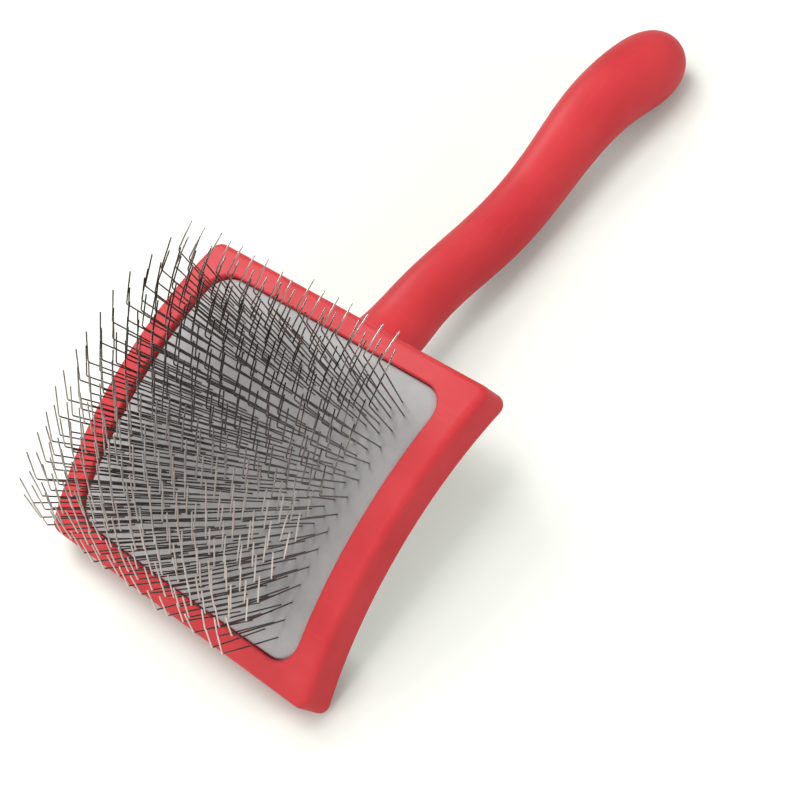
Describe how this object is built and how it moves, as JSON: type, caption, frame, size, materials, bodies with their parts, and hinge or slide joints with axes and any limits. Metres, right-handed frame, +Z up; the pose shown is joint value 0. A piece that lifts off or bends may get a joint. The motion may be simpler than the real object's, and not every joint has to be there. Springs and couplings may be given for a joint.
{
  "type": "slicker brush",
  "caption": "Slicker grooming brush: curved wooden head with a cushioned pad of knee-bent wire pins and an S-shaped wooden handle doweled to its back.",
  "frame": {"origin": "middle of the bounding box, on the surface that the brush lies on", "axes": "+Z up, out of the pad's pins; +Y along the handle towards its butt; +X across the head, to the right seen from the pins with the handle away from the viewer"},
  "size_m": [0.12, 0.2699, 0.0783],
  "materials": {
    "painted_wood": "satin coral red lacquer over beech",
    "bare_wood": "bare fluted beech",
    "foam": "closed-cell foam",
    "cloth": "woven backing",
    "pin_strip": "grey rubber with bright steel wire pins"
  },
  "bodies": {
    "root": {"head_block": "painted_wood", "handle": "painted_wood", "handle_dowel": "bare_wood", "foam_cushion": "foam", "pad_backing": "cloth", "pin_row_01": "pin_strip", "pin_row_02": "pin_strip", "pin_row_03": "pin_strip", "pin_row_04": "pin_strip", "pin_row_05": "pin_strip", "pin_row_06": "pin_strip", "pin_row_07": "pin_strip", "pin_row_08": "pin_strip", "pin_row_09": "pin_strip", "pin_row_10": "pin_strip", "pin_row_11": "pin_strip", "pin_row_12": "pin_strip", "pin_row_13": "pin_strip", "pin_row_14": "pin_strip"}
  },
  "joints": []
}
